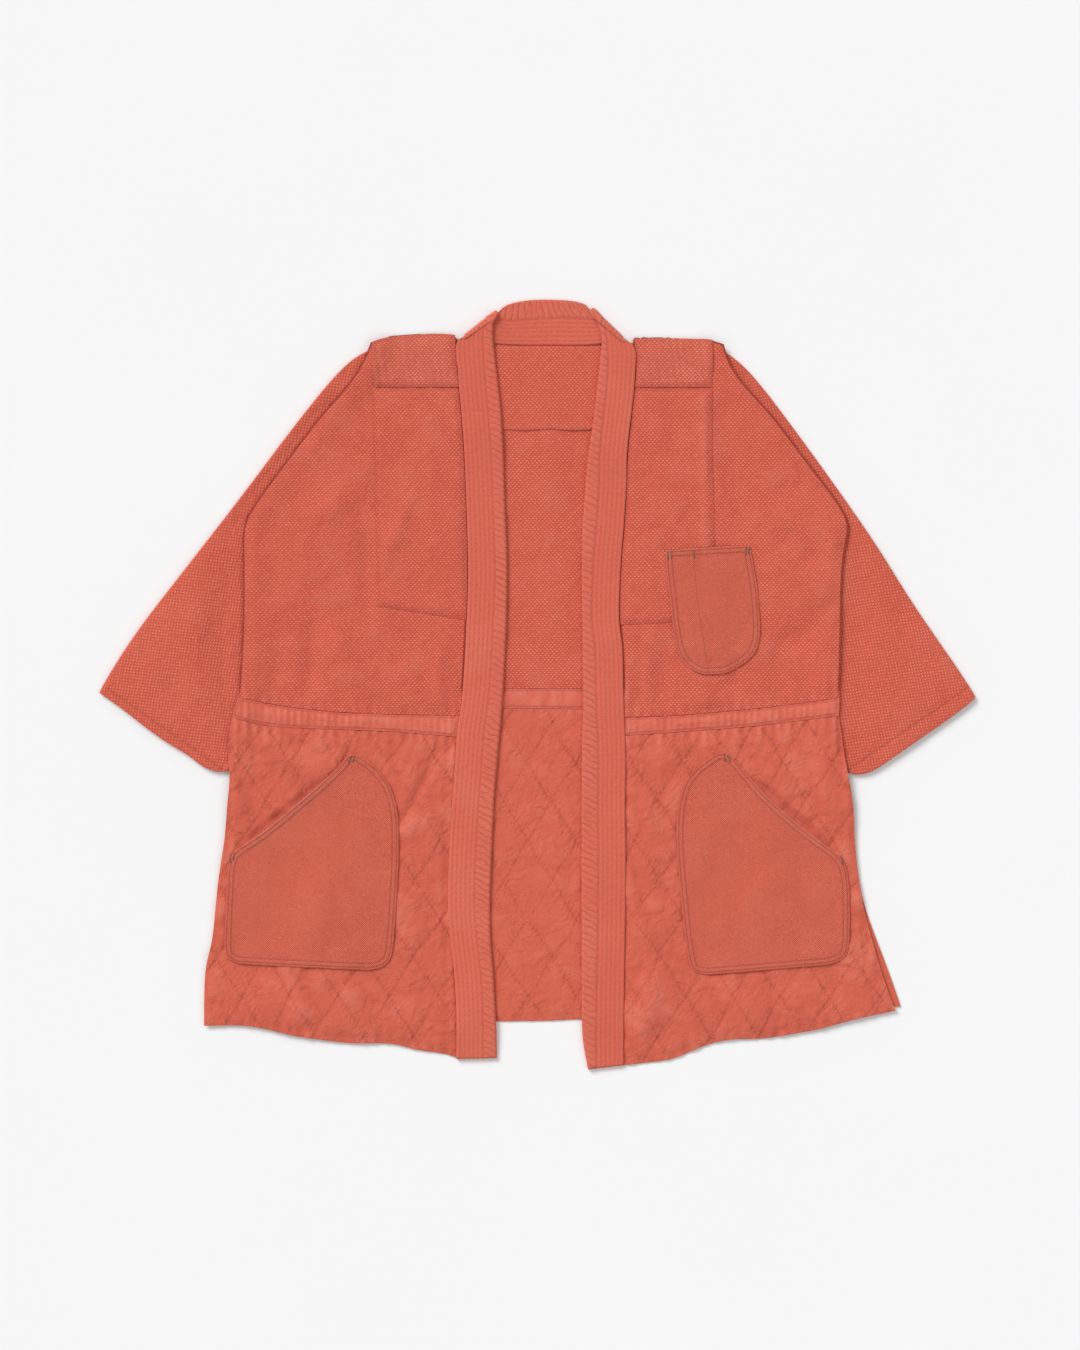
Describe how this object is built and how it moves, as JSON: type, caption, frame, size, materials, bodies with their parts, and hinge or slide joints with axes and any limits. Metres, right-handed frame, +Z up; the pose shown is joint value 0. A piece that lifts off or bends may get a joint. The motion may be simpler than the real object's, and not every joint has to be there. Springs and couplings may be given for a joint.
{
  "type": "kendo jacket",
  "caption": "Wide-sleeved cotton kendo jacket laid flat and open: rice-grain upper part, stitched collar band, diamond-quilted skirt, chest and hip patch pockets.",
  "frame": {"origin": "centre of the bounding box's bottom face, on the surface the jacket lies on", "axes": "+X across the jacket toward the wearer's left, +Y along it from hem to collar, +Z up out of the cloth, its front facing up"},
  "size_m": [0.9658, 0.846, 0.0108],
  "materials": {
    "sashiko_cotton": "matte raised rice-grain weave",
    "waistband_cotton": "matte plain cotton, gathered",
    "skirt_cotton": "matte plain cotton quilted in diamonds",
    "collar_cotton": "matte cotton, stitched in rows",
    "pocket_cotton": "matte fine dotted weave"
  },
  "bodies": {
    "root": {"back_bodice": "sashiko_cotton", "back_yoke": "sashiko_cotton", "right_front_bodice": "sashiko_cotton", "left_front_bodice": "sashiko_cotton", "right_shoulder_patch": "sashiko_cotton", "left_shoulder_patch": "sashiko_cotton", "right_chest_patch": "sashiko_cotton", "left_chest_patch": "sashiko_cotton", "right_sleeve": "sashiko_cotton", "left_sleeve": "sashiko_cotton", "back_waistband": "waistband_cotton", "right_front_waistband": "waistband_cotton", "left_front_waistband": "waistband_cotton", "back_skirt": "skirt_cotton", "right_front_skirt": "skirt_cotton", "left_front_skirt": "skirt_cotton", "collar": "collar_cotton", "chest_pocket": "pocket_cotton", "right_hip_pocket": "pocket_cotton", "left_hip_pocket": "pocket_cotton"}
  },
  "joints": []
}
